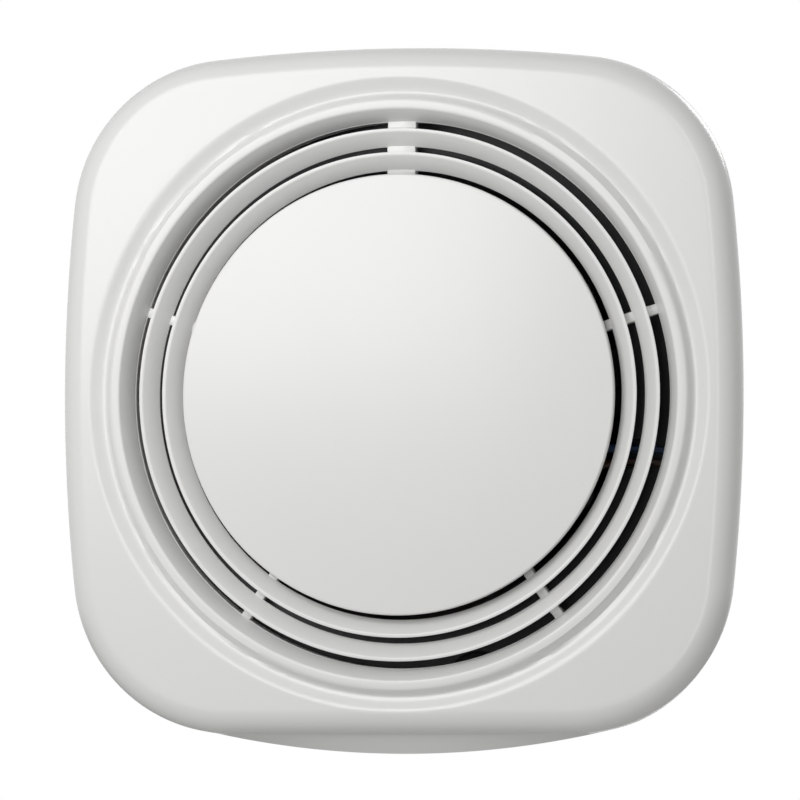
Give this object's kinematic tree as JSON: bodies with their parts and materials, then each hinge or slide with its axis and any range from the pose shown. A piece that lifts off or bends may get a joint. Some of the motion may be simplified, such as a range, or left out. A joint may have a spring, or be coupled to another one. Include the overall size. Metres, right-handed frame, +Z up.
{
  "type": "bathroom extractor fan",
  "caption": "Wall-mounted axial extractor fan with a bowed square white cover, ringed louvre grille, round centre disc, motor, impeller and a spigot with a butterfly shutter.",
  "frame": {"origin": "point of the fan axis on the wall plane, in the middle of the tray's back face", "axes": "+Y along the fan axis from the room into the duct, +Z up, +X to the right as seen from the room"},
  "size_m": [0.1556, 0.102, 0.1581],
  "materials": {
    "cover_white": "glossy moulded ABS",
    "housing_graphite": "satin moulded ABS",
    "impeller_black": "satin moulded plastic",
    "shutter_grey": "satin moulded plastic",
    "flap_grey": "satin thin moulding",
    "mount_rubber": "matt soft rubber",
    "grommet_rubber": "matt rubber",
    "lamination_steel": "stacked lamination steel",
    "copper": "enamelled copper",
    "bobbin_nylon": "natural nylon",
    "die_cast_zinc": "die-cast, satin",
    "sintered_bronze": "sintered bronze",
    "screw_steel": "zinc plated",
    "cage_aluminium": "cast",
    "brass": "machined",
    "washer_fibre": "vulcanised fibre",
    "shaft_steel": "ground",
    "spring_steel": "drawn wire",
    "terminal_nylon": "natural nylon",
    "lid_clear_grey": "satin moulded plastic",
    "lead_brown": "PVC insulation",
    "lead_blue": "PVC insulation"
  },
  "bodies": {
    "housing": {"wall_tray": "housing_graphite", "tray_rim": "housing_graphite", "duct_tube": "housing_graphite", "motor_spider": "housing_graphite", "motor_mounts": "mount_rubber", "stator_core": "lamination_steel", "shading_rings": "copper", "coil_bobbin": "bobbin_nylon", "coil_winding": "copper", "front_bracket": "die_cast_zinc", "rear_bracket": "die_cast_zinc", "front_bush": "sintered_bronze", "rear_bush": "sintered_bronze", "motor_screws": "screw_steel", "motor_nuts": "screw_steel", "terminal_block": "terminal_nylon", "terminal_inserts": "brass", "terminal_screws": "screw_steel", "terminal_cover": "lid_clear_grey", "terminal_cover_screw": "screw_steel", "cable_grommet": "grommet_rubber", "cord_clamp": "bobbin_nylon", "cord_clamp_screws": "screw_steel", "coil_connector": "bobbin_nylon", "live_lead": "lead_brown", "neutral_lead": "lead_blue", "shutter_frame": "shutter_grey", "shutter_pin": "shaft_steel", "right_flap_spring": "spring_steel", "left_flap_spring": "spring_steel"},
    "cover": {"front_cover": "cover_white", "louvre_grille": "cover_white", "centre_disc": "cover_white", "grille_screws": "screw_steel"},
    "rotor": {"rotor_core": "lamination_steel", "rotor_cage": "cage_aluminium", "rotor_spacers": "brass", "thrust_washers": "washer_fibre", "motor_shaft": "shaft_steel", "impeller": "impeller_black", "impeller_clip": "spring_steel"},
    "right_flap": {"right_flap": "flap_grey"},
    "left_flap": {"left_flap": "flap_grey"}
  },
  "joints": [
    {"name": "impeller_spin", "type": "hinge", "parent": "housing", "child": "rotor", "pos_m": [0, 0, 0], "axis": [0, 1, 0], "continuous": true},
    {"name": "right_flap_swing", "type": "hinge", "parent": "housing", "child": "right_flap", "pos_m": [0, 0.078, 0], "axis": [0, 0, 1], "range_deg": [0, 80], "stiffness_Nm_per_rad": 0.001, "springref_deg": -17.19, "deforming": ["right_flap_spring"]},
    {"name": "left_flap_swing", "type": "hinge", "parent": "housing", "child": "left_flap", "pos_m": [0, 0.078, 0], "axis": [0, 0, -1], "range_deg": [0, 80], "stiffness_Nm_per_rad": 0.001, "springref_deg": -17.19, "deforming": ["left_flap_spring"]},
    {"name": "cover_pull_off", "type": "slide", "parent": "housing", "child": "cover", "axis": [0, -1, 0], "range_m": [0, 0.05]}
  ]
}
